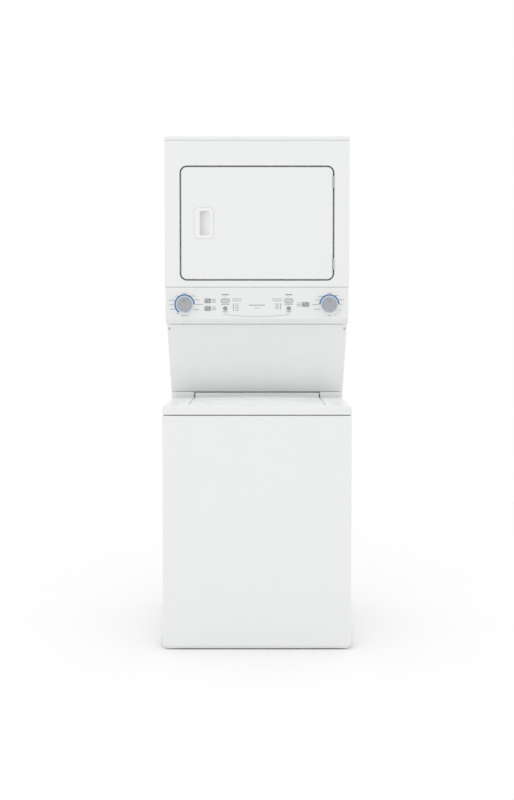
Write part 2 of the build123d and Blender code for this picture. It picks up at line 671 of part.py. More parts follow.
plug_size = (mouth_size[0] - 14, mouth_size[1] - 14)
with BuildPart() as door_liner:
    inset = 2 * sheet + 0.6
    rounded_slab((door_size[0] - inset, door_size[1] - inset), door_radius - 2, (0, door_z),
                 (door_back - 2.5, door_back))
    rounded_slab(plug_size, mouth_radius - 7, (0, door_z), (door_back - 1, door_back + 11))
    fillet(door_liner.faces().sort_by(Axis.Y)[-1].edges(), 4)
    rounded_slab((plug_size[0] - 5, plug_size[1] - 5), mouth_radius - 9.5, (0, door_z),
                 (door_back - 10, door_back + 8.5), mode=Mode.SUBTRACT)
finish(door_liner, "door_liner")

with BuildPart() as door_seal:
    rounded_slab((mouth_size[0] + 50, mouth_size[1] + 50), mouth_radius + 25, (0, door_z),
                 (door_back, door_back + 3.6))
    rounded_slab((mouth_size[0] + 14, mouth_size[1] + 14), mouth_radius + 7, (0, door_z),
                 (door_back - 1, door_back + 5), mode=Mode.SUBTRACT)
finish(door_seal, "door_seal")

with BuildPart() as door_handle:
    rounded_slab((71, 114), 17, (handle_x - 2, door_z), (dryer_front - 1.6, dryer_front))
    fillet(door_handle.faces().sort_by(Axis.Y)[0].edges(), 1.2)
    rounded_slab(hook_size, 4.5, (handle_x, door_z), (dryer_front - 0.5, dryer_front + 22))
    pocket_left, pocket_right = handle_x - 17, handle_x + 20
    pocket_z = (door_z - 45, door_z + 45)
    plan_prism([(pocket_left, dryer_front - 5), (pocket_left, dryer_front + 3),
                (pocket_left - 4, dryer_front + 3), (pocket_left - 4, dryer_front + 20),
                (pocket_left + 12, dryer_front + 20), (pocket_right, dryer_front + 3),
                (pocket_right, dryer_front - 5)], pocket_z, mode=Mode.SUBTRACT)
finish(door_handle, "door_handle")

knuckle = 2.8
knuckle_length = 14.0
leaf_wall = door_size[0] / 2 + door_gap  # side of the recess that the fixed leaves lie against


def hinge_leaf(inner, outer, z, height_span):
    """A flat leaf that runs back from the hinge line beside the door's edge."""
    span_box(sorted((inner, outer)), (hinge_y, recess_back - 4), (z - height_span, z + height_span))


with BuildPart() as door_hinges:
    for z in hinge_heights:
        hinge_leaf(door_size[0] / 2, door_size[0] / 2 + 1.2, z, knuckle_length / 2)
        bar(knuckle, (hinge_x, hinge_y, z - knuckle_length / 2), (hinge_x, hinge_y, z + knuckle_length / 2))
        bar(1.5, (hinge_x, hinge_y, z - 20), (hinge_x, hinge_y, z + 20), mode=Mode.SUBTRACT)
finish(door_hinges, "door_hinges")

with BuildPart() as door_hinge_leaves:
    for z in hinge_heights:
        for side in (-1, 1):
            centre = z + side * (knuckle_length + 0.6)
            hinge_leaf(leaf_wall - 1.2, leaf_wall, centre, knuckle_length / 2)
            bar(knuckle, (hinge_x, hinge_y, centre - knuckle_length / 2),
                (hinge_x, hinge_y, centre + knuckle_length / 2))
        bar(1.4, (hinge_x, hinge_y, z - 21), (hinge_x, hinge_y, z + 21))
finish(door_hinge_leaves, "door_hinge_leaves")


# --- Drum, bulkheads, air path ------------------------------------------------------------------

drum_centre = (0, 0, drum_z)
trap_half = 84.0
trap_z = (1264.0, door_z - mouth_size[1] / 2)
bulkhead_y = recess_back
wall_x = half - sheet

with BuildPart() as front_bulkhead:
    plate_back = bulkhead_y + inner_sheet
    span_box((-wall_x, wall_x), (bulkhead_y, plate_back), (dryer_z + 5, height - 20))
    bar(293, (0, plate_back, drum_z), (0, drum_y[0] - travel_gap, drum_z))
    bar(289, (0, plate_back, drum_z), (0, drum_y[0], drum_z), mode=Mode.SUBTRACT)
    span_box((-trap_half, trap_half), (plate_back, drum_y[0] - 4), trap_z)
    span_box((3 - trap_half, trap_half - 3), (bulkhead_y + 6, drum_y[0] - 7),
             (trap_z[0] + 3.6, trap_z[1] + 5), mode=Mode.SUBTRACT)
    span_box((-66, 66), (bulkhead_y + 6, drum_y[0] - 7), (trap_z[0] - 30, trap_z[0] + 5), mode=Mode.SUBTRACT)
    rounded_slab(mouth_size, mouth_radius, (0, door_z), (bulkhead_y - 5, plate_back), mode=Mode.SUBTRACT)
finish(front_bulkhead, "front_bulkhead")

with BuildPart() as lint_filter:
    filter_y = (bulkhead_y + 8, drum_y[0] - 9)
    middle = sum(filter_y) / 2
    span_box((-76, 76), filter_y, (trap_z[0] + 4, trap_z[1] - 2))
    for side in (-1, 1):
        with Locations((side * 36, middle, (trap_z[0] + trap_z[1]) / 2)):
            Box(62, 30, 100, mode=Mode.SUBTRACT)
    span_box((-70, 70), (middle - 0.6, middle + 0.6), (trap_z[0] + 10, trap_z[1] - 8))
    span_box((-34, 34), filter_y, (trap_z[1] - 2, trap_z[1] + 8))
finish(lint_filter, "lint_filter")

with BuildPart() as dryer_drum:
    inner = drum_radius - drum_sheet
    back_y = drum_y[1] - drum_sheet
    turned([(272, drum_y[0]), (drum_radius, drum_y[0]), (drum_radius, drum_y[1]), (0, drum_y[1]),
            (0, back_y), (inner, back_y), (inner, drum_y[0] + drum_sheet), (272, drum_y[0] + drum_sheet)],
           drum_centre, z_dir=(0, 1, 0))
    bar(drum_axle, (0, drum_y[1], drum_z), (0, drum_y[1] + 22, drum_z))
finish(dryer_drum, "dryer_drum")

with BuildPart() as drum_baffles:
    reach = drum_radius - drum_sheet - 0.5
    seat = (reach**2 - 30**2) ** 0.5
    for turn in (90, 210, 330):
        outward = Vector(cos(radians(turn)), 0, sin(radians(turn)))
        across = Plane(origin=(0, drum_y[0] + 14, drum_z), x_dir=outward, z_dir=(0, 1, 0))
        with BuildSketch(across) as vane:
            with BuildLine():
                Polyline((seat, -30), (seat, 30), (228, 9), (228, -9), close=True)
            make_face()
            with BuildLine():
                Polyline((seat, -27), (seat, 27), (231, 7), (231, -7), close=True)
            make_face(mode=Mode.SUBTRACT)
        extrude(vane.sketch, drum_y[1] - drum_y[0] - 28)
finish(drum_baffles, "drum_baffles")

with BuildPart() as rear_bulkhead:
    plate_y = drum_y[1] + 7
    span_box((-wall_x, wall_x), (plate_y, plate_y + inner_sheet), (1250, height - 20))
    bar(30, (0, plate_y - 3, drum_z), (0, plate_y + 14, drum_z))
    bar(drum_axle + running_gap, (0, plate_y - 10, drum_z), (0, plate_y + 30, drum_z), mode=Mode.SUBTRACT)
    span_box((-230, -130), (plate_y - 5, plate_y + 5), (1440, 1560), mode=Mode.SUBTRACT)
finish(rear_bulkhead, "rear_bulkhead")

with BuildPart() as heater_box:
    span_box((-255, -105), (plate_y + inner_sheet, rear - 12), (1180, 1585))
    span_box((inner_sheet - 255, -105 - inner_sheet), (plate_y, rear - 12 - inner_sheet),
             (1170, 1585 - inner_sheet), mode=Mode.SUBTRACT)
    for row in range(6):
        bar(4, (-253.5, plate_y + 32, 1230 + 40 * row), (-106.5, plate_y + 32, 1230 + 40 * row))
finish(heater_box, "heater_box")

with BuildPart() as dryer_motor:
    bar(60, (blower_x, 95, blower_z), (blower_x, 225, blower_z))
    span_box((blower_x - 45, blower_x + 45), (115, 205), (dryer_floor_z + inner_sheet, blower_z - 40))
    bar(6.4, (blower_x, 90, blower_z), (blower_x, 230, blower_z), mode=Mode.SUBTRACT)
finish(dryer_motor, "dryer_motor")

with BuildPart() as blower_housing:
    bar(100, (blower_x, 0, blower_z), (blower_x, 72, blower_z))
    span_box((-64, blower_x), (0, 72), (1054, 1166))
    bar(96, (blower_x, 4, blower_z), (blower_x, 68, blower_z), mode=Mode.SUBTRACT)
    span_box((-60, blower_x), (4, 68), (1058, 1162), mode=Mode.SUBTRACT)
    bar(58, (blower_x, -5, blower_z), (blower_x, 5, blower_z), mode=Mode.SUBTRACT)
    bar(7, (blower_x, 60, blower_z), (blower_x, 80, blower_z), mode=Mode.SUBTRACT)
    bar(50, (0, 60, duct_z), (0, 80, duct_z), mode=Mode.SUBTRACT)
finish(blower_housing, "blower_housing")

with BuildPart() as lint_chute:
    chute_z = (1204.0, 1256.0)
    mouth_y = (bulkhead_y + 3, drum_y[0] - 4)
    span_box((-84, 84), mouth_y, (chute_z[0], trap_z[0]))
    span_box((-84, 190), (mouth_y[0], -2), chute_z)
    span_box((60, 190), (-62, -2), (1088, chute_z[0]))
    span_box((-81, 81), (mouth_y[0] + 3, mouth_y[1] - 3), (chute_z[0] + 3, trap_z[0] + 5), mode=Mode.SUBTRACT)
    span_box((-81, 187), (mouth_y[0] + 3, -5), (chute_z[0] + 3, chute_z[1] - 3), mode=Mode.SUBTRACT)
    span_box((63, 187), (-59, -5), (1091, chute_z[0] + 5), mode=Mode.SUBTRACT)
    bar(56, (blower_x, -10, blower_z), (blower_x, 5, blower_z), mode=Mode.SUBTRACT)
finish(lint_chute, "lint_chute")

with BuildPart() as blower_wheel:
    bar(6, (blower_x, 10, blower_z), (blower_x, 262, blower_z))
    bar(84, (blower_x, 60, blower_z), (blower_x, 63, blower_z))
    bar(18, (blower_x, 14, blower_z), (blower_x, 60, blower_z))
    with Locations(Plane(origin=(blower_x, 36.5, blower_z), z_dir=(0, 1, 0))):
        with PolarLocations(72, 18):
            Box(22, 2, 47)
    bar(dryer_pulley, (blower_x, 238, blower_z), (blower_x, 260, blower_z))
finish(blower_wheel, "blower_wheel")

with BuildPart() as exhaust_duct:
    turned([(49, 72), (52, 72), (52, rear), (50.4, rear), (50.4, depth / 2), (48.9, depth / 2),
            (48.9, rear - 4), (49, rear - 4)], (0, 0, duct_z), z_dir=(0, 1, 0))
finish(exhaust_duct, "exhaust_duct")

with BuildPart() as drum_belt:
    belt_loop(Plane(origin=(0, dryer_belt_y, drum_z), x_dir=(1, 0, 0), z_dir=(0, -1, 0)),
              (blower_x, blower_z - drum_z), (drum_radius, dryer_pulley), 3, 8)
finish(drum_belt, "drum_belt")
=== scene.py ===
import math
import bpy
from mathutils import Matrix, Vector


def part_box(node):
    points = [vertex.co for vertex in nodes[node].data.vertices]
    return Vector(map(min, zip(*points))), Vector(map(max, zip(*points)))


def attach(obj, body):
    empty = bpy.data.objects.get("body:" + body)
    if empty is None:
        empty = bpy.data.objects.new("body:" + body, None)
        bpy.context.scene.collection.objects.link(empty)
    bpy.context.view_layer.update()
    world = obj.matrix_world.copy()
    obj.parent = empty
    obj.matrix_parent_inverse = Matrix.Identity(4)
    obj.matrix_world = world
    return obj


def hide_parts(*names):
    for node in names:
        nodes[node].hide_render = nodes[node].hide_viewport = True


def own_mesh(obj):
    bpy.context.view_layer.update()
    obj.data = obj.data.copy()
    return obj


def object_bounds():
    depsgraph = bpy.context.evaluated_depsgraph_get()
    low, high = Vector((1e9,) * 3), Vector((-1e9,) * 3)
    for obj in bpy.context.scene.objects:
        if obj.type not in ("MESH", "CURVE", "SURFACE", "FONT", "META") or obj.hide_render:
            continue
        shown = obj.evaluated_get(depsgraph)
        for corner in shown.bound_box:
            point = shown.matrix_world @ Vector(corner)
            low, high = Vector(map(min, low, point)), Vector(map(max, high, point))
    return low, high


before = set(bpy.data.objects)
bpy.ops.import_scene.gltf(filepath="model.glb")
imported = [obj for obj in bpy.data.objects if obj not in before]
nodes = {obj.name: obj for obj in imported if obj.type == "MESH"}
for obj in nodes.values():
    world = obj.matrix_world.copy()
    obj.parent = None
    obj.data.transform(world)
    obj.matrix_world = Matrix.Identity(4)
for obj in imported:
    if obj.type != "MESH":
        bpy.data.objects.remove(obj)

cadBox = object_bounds()  # the CAD model's own box, before anything is added
mm = 0.001


# small helpers

def linearHex(code):  # an sRGB hex colour as the linear values that shaders take
    parts = [int(code[i:i + 2], 16) / 255 for i in (1, 3, 5)]
    return [p / 12.92 if p <= 0.04045 else ((p + 0.055) / 1.055) ** 2.4 for p in parts] + [1.0]


def addNode(tree, kind, settings, links=()):  # one node, its values, and (input, source) links
    node = tree.nodes.new(kind)
    for key, value in settings.items():
        if key in node.inputs:
            node.inputs[key].default_value = value
        else:
            setattr(node, key, value)
    for socket, source in links:
        tree.links.new(source, node.inputs[socket])
    return node


def onlySelect(piece):
    if bpy.context.object and bpy.context.object.mode != "OBJECT":
        bpy.ops.object.mode_set(mode="OBJECT")
    bpy.ops.object.select_all(action="DESELECT")
    piece.select_set(True)
    bpy.context.view_layer.objects.active = piece


def clearPicks(piece):  # object mode, with nothing in the mesh selected
    bpy.ops.object.mode_set(mode="OBJECT")
    for parts in (piece.data.vertices, piece.data.edges, piece.data.polygons):
        parts.foreach_set("select", [False] * len(parts))


def pickFaces(piece, test):  # edit mode, with just the faces that pass the test selected
    clearPicks(piece)
    for polygon in piece.data.polygons:
        polygon.select = test(polygon)
    bpy.ops.object.mode_set(mode="EDIT")
    bpy.ops.mesh.select_mode(type="FACE")


def pickRing(piece, z):  # edit mode, with the edges at one height selected
    clearPicks(piece)
    for vertex in piece.data.vertices:
        vertex.select = abs(vertex.co.z - z) < 0.01 * mm
    bpy.ops.object.mode_set(mode="EDIT")
    bpy.ops.mesh.select_mode(type="VERT")
    bpy.ops.mesh.select_mode(type="EDGE")


def facing(direction):  # a test for faces that look that way
    return lambda polygon: polygon.normal.dot(Vector(direction)) > 0.9


def extrudeBy(x, y, z):  # what is selected, in metres
    bpy.ops.mesh.extrude_region_move(TRANSFORM_OT_translate={"value": (x, y, z)})


def fixNormals():  # outwards all over the mesh, in edit mode
    bpy.ops.mesh.select_all(action="SELECT")
    bpy.ops.mesh.normals_make_consistent(inside=False)


def startPiece():  # the primitive just added, ready for modelling
    piece = bpy.context.object
    onlySelect(piece)
    bpy.ops.object.transform_apply(location=True, rotation=True, scale=True)
    bpy.ops.object.mode_set(mode="EDIT")
    return piece


def applyModifier(piece, kind, **settings):
    onlySelect(piece)
    modifier = piece.modifiers.new(kind.title(), kind)
    for key, value in settings.items():
        setattr(modifier, key, value)
    bpy.ops.object.modifier_apply(modifier=modifier.name)


def copyPiece(piece):  # a copy with a mesh of its own
    other = piece.copy()
    other.data = piece.data.copy()
    bpy.context.scene.collection.objects.link(other)
    return other


def joinPieces(pieces):
    onlySelect(pieces[0])
    for piece in pieces[1:]:
        piece.select_set(True)
    if len(pieces) > 1:
        bpy.ops.object.join()
    return bpy.context.object


def finishPiece(piece, name, body, material, smoothAngle=35):
    onlySelect(piece)
    bpy.ops.object.transform_apply(location=True, rotation=True, scale=True)
    bpy.ops.object.shade_smooth_by_angle(angle=math.radians(smoothAngle))
    piece.name = piece.data.name = name
    piece.data.materials.clear()
    piece.data.materials.append(material)
    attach(piece, body)
    return piece


# materials

def objectPoints(tree, sizeMm, stretch=(1, 1, 1)):  # coordinates in which one unit is sizeMm
    scale = [share / (sizeMm * mm) for share in stretch]
    where = addNode(tree, "ShaderNodeTexCoord", {})
    mapping = addNode(tree, "ShaderNodeMapping", {"Scale": scale}, [("Vector", where.outputs["Object"])])
    return mapping.outputs[0]


def makeMaterial(name, finish):
    material = bpy.data.materials.new(name)
    material.use_nodes = True
    tree = material.node_tree
    shader = tree.nodes["Principled BSDF"]
    shader.inputs["Base Color"].default_value = linearHex(finish["colour"])
    for key, value in finish.get("shader", {}).items():
        shader.inputs[key].default_value = value
    roughness = finish["roughness"]
    if "mottle" in finish:  # slow drift of colour and gloss over the surface
        sizeMm, other, drift = finish["mottle"]
        cloud = addNode(tree, "ShaderNodeTexNoise", {"Scale": 1.0, "Detail": 3.0, "Roughness": 0.55},
                        [("Vector", objectPoints(tree, sizeMm))])
        tint = addNode(tree, "ShaderNodeMix", {"data_type": "RGBA"}, [("Factor", cloud.outputs["Fac"])])
        tint.inputs[6].default_value = linearHex(finish["colour"])
        tint.inputs[7].default_value = linearHex(other)
        tree.links.new(tint.outputs[2], shader.inputs["Base Color"])
        limits = {"From Min": 0.3, "From Max": 0.7, "To Min": roughness - drift, "To Max": roughness + drift}
        gloss = addNode(tree, "ShaderNodeMapRange", limits, [("Value", cloud.outputs["Fac"])])
        tree.links.new(gloss.outputs[0], shader.inputs["Roughness"])
    else:
        shader.inputs["Roughness"].default_value = roughness
    if "spangle" in finish:  # zinc crystals: flat cells, each a little lighter or darker
        sizeMm, other = finish["spangle"]
        cells = addNode(tree, "ShaderNodeTexVoronoi", {"Scale": 1.0, "feature": "F1"},
                        [("Vector", objectPoints(tree, sizeMm))])
        shade = addNode(tree, "ShaderNodeSeparateColor", {}, [("Color", cells.outputs["Color"])])
        tint = addNode(tree, "ShaderNodeMix", {"data_type": "RGBA"}, [("Factor", shade.outputs[0])])
        tint.inputs[6].default_value = linearHex(finish["colour"])
        tint.inputs[7].default_value = linearHex(other)
        tree.links.new(tint.outputs[2], shader.inputs["Base Color"])
    last = None
    for sizeMm, heightMm, stretch in finish.get("bumps", []):  # each layer is (grain size, height, stretch)
        grain = addNode(tree, "ShaderNodeTexNoise", {"Scale": 1.0, "Detail": 2.0, "Roughness": 0.5},
                        [("Vector", objectPoints(tree, sizeMm, stretch))])
        links = [("Height", grain.outputs["Fac"])] + ([("Normal", last)] if last else [])
        last = addNode(tree, "ShaderNodeBump", {"Strength": 1.0, "Distance": heightMm * mm}, links).outputs[0]
    if last:
        tree.links.new(last, shader.inputs["Normal"])
    return material


even = (1, 1, 1)
finishes = {
    # baked enamel on pressed steel: bright white, a clear gloss and a faint orange peel
    "bakedEnamelSteel": {"colour": "#EAECEB", "roughness": 0.34, "mottle": (90, "#E8EAE9", 0.03),
                         "shader": {"IOR": 1.5, "Coat Weight": 0.3, "Coat Roughness": 0.12},
                         "bumps": [(2.6, 0.010, even)]},
    # spark-textured ABS moulding: white, satin, with a fine even grain
    "texturedAbs": {"colour": "#E8E9E9", "roughness": 0.48, "mottle": (70, "#E6E7E7", 0.03),
                    "shader": {"IOR": 1.53}, "bumps": [(0.9, 0.012, even)]},
    # polished ABS moulding of the door's handle: white, glossy, slightly wavy
    "polishedAbs": {"colour": "#EDEEED", "roughness": 0.26, "mottle": (40, "#EBECEC", 0.04),
                    "shader": {"IOR": 1.53}, "bumps": [(6.0, 0.02, even)]},
    # grey satin ABS of the knobs, lightly grained
    "greySatinAbs": {"colour": "#A8AAAD", "roughness": 0.44, "mottle": (12, "#A2A5A9", 0.04),
                     "shader": {"IOR": 1.53}, "bumps": [(0.7, 0.015, even)]},
    # skirt round each knob: clear gloss plastic whose pale blue is a painted reflection of the blue arc on
    # the knob's bright base
    "skirtBlueWithPaintedReflection": {"colour": "#C3D4E4", "roughness": 0.16, "mottle": (8, "#B5CBE0", 0.03),
                            "shader": {"IOR": 1.58, "Coat Weight": 0.4, "Coat Roughness": 0.05},
                            "bumps": [(3.0, 0.01, even)]},
    # pad-printed ink: thin, flat, with a faint unevenness
    "blueInk": {"colour": "#1F6CA6", "roughness": 0.5, "mottle": (5, "#2A76A8", 0.05),
                "shader": {"IOR": 1.48}, "bumps": [(0.6, 0.006, even)]},
    # grey ink of the captions; the same grey also makes the painted shade in the smile groove and round the
    # start buttons' caps
    "greyInkAndPaintedShade": {"colour": "#95979C", "roughness": 0.55, "mottle": (4, "#A0A2A7", 0.05),
                "shader": {"IOR": 1.48}, "bumps": [(0.6, 0.006, even)]},
    "paleInk": {"colour": "#D2D4D6", "roughness": 0.5, "mottle": (4, "#CACCCF", 0.05),
                "shader": {"IOR": 1.48}, "bumps": [(0.6, 0.006, even)]},
    "darkInk": {"colour": "#6C6F74", "roughness": 0.55, "mottle": (4, "#74777B", 0.05),
                "shader": {"IOR": 1.48}, "bumps": [(0.6, 0.006, even)]},
    # moulded ABS of the push buttons, darker than the knobs
    "buttonAbs": {"colour": "#939598", "roughness": 0.4, "mottle": (10, "#999B9E", 0.05),
                  "shader": {"IOR": 1.53}, "bumps": [(0.7, 0.01, even)]},
    "paleButtonAbs": {"colour": "#CACCCD", "roughness": 0.38, "mottle": (10, "#C4C6C8", 0.05),
                      "shader": {"IOR": 1.53}, "bumps": [(0.7, 0.01, even)]},
    # clear light pipes over unlit lamps: small, dark and glossy
    "lightPipe": {"colour": "#7B7F84", "roughness": 0.12, "mottle": (3, "#868A8E", 0.02),
                  "shader": {"IOR": 1.58, "Coat Weight": 0.5}},
    # hot-dip galvanised sheet: grey metal with large zinc spangles
    "galvanisedSheet": {"colour": "#B4B8BB", "roughness": 0.42, "mottle": (35, "#A9ADB0", 0.08),
                        "spangle": (11, "#C8CCCE"), "shader": {"Metallic": 1.0}, "bumps": [(18, 0.02, even)]},
    # bright zinc plate on turned and pressed steel parts
    "zincPlate": {"colour": "#C6C8CA", "roughness": 0.3, "mottle": (14, "#B4B6B9", 0.06),
                  "shader": {"Metallic": 1.0}, "bumps": [(1.2, 0.004, even)]},
    # porcelain enamel on the wash basket: hard white-grey glaze with a soft wave
    "porcelainEnamel": {"colour": "#DDE2E5", "roughness": 0.2, "mottle": (50, "#D3D9DD", 0.04),
                        "shader": {"IOR": 1.52, "Coat Weight": 0.4}, "bumps": [(7.0, 0.03, even)]},
    # powder coat inside the dryer: light grey, finely pebbled
    "powderCoat": {"colour": "#CDD0D1", "roughness": 0.46, "mottle": (60, "#C5C8CA", 0.05),
                   "shader": {"IOR": 1.5}, "bumps": [(1.6, 0.03, even)]},
    # natural polypropylene of tub, pump and ducts: milky and slightly waxy
    "polypropylene": {"colour": "#CFD1CE", "roughness": 0.42, "mottle": (80, "#C3C6C3", 0.05),
                      "shader": {"IOR": 1.49, "Subsurface Weight": 0.05}, "bumps": [(5.0, 0.04, even)]},
    # glossy white polypropylene of the agitator and liners
    "whitePolypropylene": {"colour": "#ECEEED", "roughness": 0.3, "mottle": (60, "#E6E8E7", 0.04),
                           "shader": {"IOR": 1.49}, "bumps": [(4.0, 0.02, even)]},
    # glass-filled nylon: near black, dull, with flow marks
    "darkNylon": {"colour": "#2B2C2E", "roughness": 0.55, "mottle": (25, "#343537", 0.06),
                  "shader": {"IOR": 1.53}, "bumps": [(1.5, 0.02, even)]},
    # die-cast aluminium: grey metal, rough skin
    "castAluminium": {"colour": "#AAABA9", "roughness": 0.5, "mottle": (22, "#979896", 0.08),
                      "shader": {"Metallic": 1.0}, "bumps": [(1.4, 0.06, even)]},
    # fabric-backed rubber belt and the door's seal: black, dull
    "beltRubber": {"colour": "#1D1D1E", "roughness": 0.72, "mottle": (12, "#28282A", 0.06),
                   "shader": {"IOR": 1.52}, "bumps": [(0.8, 0.03, even)]},
    # grey rubber of the door's seal; the same grey makes the ring round the door handle, which is painted
    # shade of the seam
    "sealRubberAndSeamShade": {"colour": "#C9CBCB", "roughness": 0.62, "mottle": (15, "#BFC1C1", 0.06),
                   "shader": {"IOR": 1.52}, "bumps": [(1.0, 0.03, even)]},
    # matt white floor of the room
    "paintedFloor": {"colour": "#FEFEFE", "roughness": 0.9, "mottle": (900, "#FCFCFC", 0.02),
                     "bumps": [(20, 0.02, even)]},
}
made = {name: makeMaterial(name, finish) for name, finish in finishes.items()}

dressing = {
    "bakedEnamelSteel": ["washer_cabinet", "washer_front_panel", "washer_deck", "washer_lid", "recess_panel",
                         "side_panel_left", "side_panel_right", "dryer_top_panel", "dryer_front_panel",
                         "door_panel"],
    "texturedAbs": ["console_panel"],
    "polishedAbs": ["door_handle"],
    "greySatinAbs": ["washer_dial", "dryer_dial"],
    "buttonAbs": ["temperature_button", "soil_button", "heat_button", "washer_signal_button",
                  "dryer_signal_button"],
    "paleButtonAbs": ["washer_start_button", "dryer_start_button"],
    "lightPipe": ["indicator_lights"],
    "galvanisedSheet": ["washer_base", "rear_panel", "rear_bulkhead", "dryer_floor", "heater_box",
                        "terminal_cover", "exhaust_duct"],
    "zincPlate": ["hanger_rods", "hanger_springs", "door_hinges", "door_hinge_leaves", "cabinet_screws"],
    "porcelainEnamel": ["wash_basket"],
    "powderCoat": ["dryer_drum", "front_bulkhead"],
    "polypropylene": ["washer_tub", "drain_pump", "blower_housing", "lint_chute", "blower_wheel"],
    "whitePolypropylene": ["agitator", "tub_cover", "door_liner", "lid_liner", "lint_filter", "drum_baffles"],
    "darkNylon": ["control_housing", "lid_lock", "levelling_feet", "inlet_valve"],
    "castAluminium": ["gearcase", "washer_motor", "dryer_motor", "drive_pulley", "motor_pulley"],
    "beltRubber": ["drum_belt", "washer_belt"],
    "sealRubberAndSeamShade": ["door_seal"],
}
for materialName, nodeNames in dressing.items():
    for nodeName in nodeNames:
        nodes[nodeName].data.materials.clear()
        nodes[nodeName].data.materials.append(made[materialName])
print("materials:", len(made), "on", sum(len(group) for group in dressing.values()), "nodes")


# console

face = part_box("console_panel")[0].y  # the console's front face

dials = {
    "washer": {"marks": [(270, 26), (235, 12), (206, 20), (182, 14), (158, 21), (131, 11), (92, 18), (50, 20),
                         (24, 20), (0, 27), (332, 21)],
               "arc": (234, 0), "numbers": []},
    "dryer": {"marks": [(90, 17), (133, 22), (156, 18), (180, 22), (205, 22), (54, 12), (25, 17), (270, 9)],
              "arc": (180, 0), "numbers": [(0, "60"), (332, "50"), (318, "40"), (300, "20")]},
}
dialShape = {"skirtRadius": 30.5, "knobRadius": 27.0, "knobDepth": 25.0, "taper": 0.93, "arcRadius": 35.3,
             "arcWidth": 4.8, "markRadius": 41.0, "flutes": 48}
# the smile is a grey band laid on the floor of the console's groove: painted shade of the groove
smile = {"halfChord": 122.0, "sagitta": 8.2, "lowest": 1210.3, "width": 0.9, "depth": 1.15}  # in its groove
ink = 0.25  # thickness of a printed mark, in mm


def dialCentre(name):
    low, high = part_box(name + "_dial")
    return (low.x + high.x) / 2, (low.z + high.z) / 2


def makeKnob(name):
    x, z = dialCentre(name)
    shape = dialShape
    radius = shape["knobRadius"] * mm
    bpy.ops.mesh.primitive_cylinder_add(vertices=shape["flutes"] * 2, radius=radius, depth=6 * mm,
                                        location=(x, face - 4 * mm, z), rotation=(math.pi / 2, 0, 0))
    knob = startPiece()
    pickFaces(knob, facing((0, -1, 0)))
    extrudeBy(0, -(shape["knobDepth"] - 9) * mm, 0)
    bpy.ops.transform.resize(value=(shape["taper"], 1, shape["taper"]), center_override=(x, face, z))
    for step, out in ((1.2, 1.0), (1.4, 0.5)):  # a rounded shoulder
        extrudeBy(0, -out * mm, 0)
        share = 1 - step / shape["knobRadius"]
        bpy.ops.transform.resize(value=(share, 1, share), center_override=(x, face, z))
    bpy.ops.mesh.inset(thickness=2.5 * mm, depth=0)
    bpy.ops.mesh.inset(thickness=1.0 * mm, depth=-0.5 * mm)

    def isFlute(polygon):  # every second face round the side
        turn = math.atan2(polygon.center.z - z, polygon.center.x - x) / math.pi
        onSide = abs(polygon.normal.y) < 0.3 and polygon.center.y < face - 7 * mm
        return onSide and round(turn * shape["flutes"] - 0.5) % 2 == 0

    pickFaces(knob, isFlute)
    bpy.ops.mesh.inset(thickness=0.25 * mm, depth=-0.35 * mm)
    onlySelect(knob)
    finishPiece(knob, name + "DialKnob", name + "_dial", made["greySatinAbs"], 30)
    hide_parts(name + "_dial")

    bpy.ops.mesh.primitive_cylinder_add(vertices=96, radius=shape["skirtRadius"] * mm, depth=2.6 * mm,
                                        location=(x, face - 2.3 * mm, z), rotation=(math.pi / 2, 0, 0))
    skirt = startPiece()
    pickFaces(skirt, facing((0, -1, 0)))
    bpy.ops.mesh.inset(thickness=1.6 * mm, depth=0.9 * mm)
    bpy.ops.mesh.inset(thickness=2.2 * mm, depth=0.2 * mm)
    # the skirt's pale blue colour is a painted reflection of the blue arc
    finishPiece(skirt, name + "DialSkirt", name + "_dial", made["skirtBlueWithPaintedReflection"], 30)

    bpy.ops.mesh.primitive_cube_add(size=1, scale=(1.6 * mm, 0.5 * mm, 11 * mm),
                                    location=(x, face - 27.1 * mm, z + 13.5 * mm))
    pointer = startPiece()
    bpy.ops.mesh.select_all(action="SELECT")
    bpy.ops.mesh.bevel(offset=0.2 * mm, segments=2, affect="EDGES")
    finishPiece(pointer, name + "DialPointer", name + "_dial", made["darkInk"])


def makeArc(name, centre, radius, width, angles, depth, material):  # a band spun from its own cross-section
    x, z = centre
    first, last = (math.radians(a) for a in angles)
    middle = Vector((math.cos(last), 0, math.sin(last))) * radius * mm
    bpy.ops.mesh.primitive_plane_add(size=1, location=(0, 0, 0))
    band = startPiece()
    bpy.ops.mesh.select_all(action="SELECT")
    bpy.ops.transform.resize(value=(width * mm, ink * mm, 1), center_override=(0, 0, 0))
    onlySelect(band)
    band.rotation_euler = (0, -last, 0)
    band.location = (x + middle.x, face + (depth - ink / 2) * mm, z + middle.z)
    bpy.ops.object.transform_apply(location=True, rotation=True, scale=True)
    bpy.ops.object.mode_set(mode="EDIT")
    bpy.ops.mesh.select_all(action="SELECT")
    bpy.ops.mesh.spin(steps=72, angle=last - first, center=(x, face, z), axis=(0, -1, 0))
    bpy.ops.mesh.select_all(action="SELECT")
    bpy.ops.mesh.remove_doubles(threshold=0.01 * mm)
    fixNormals()
    finishPiece(band, name, "frame", material, 30)


def addMark(x, z, width, height):  # one short printed bar on the console's face
    bpy.ops.mesh.primitive_cube_add(size=1, scale=(width * mm, ink * mm, height * mm),
                                    location=(x, face - ink / 2 * mm, z))
    return bpy.context.object


def addWord(x, z, width, height=2.4):  # a printed caption, as a row of short bars
    pieces = []
    gap = 0.9
    count = max(2, round(width / 6.5))
    each = (width - gap * (count - 1)) / count
    for i in range(count):
        middle = -width / 2 + each / 2 + i * (each + gap)
        pieces.append(addMark(x + middle * mm, z, each, height))
    return pieces


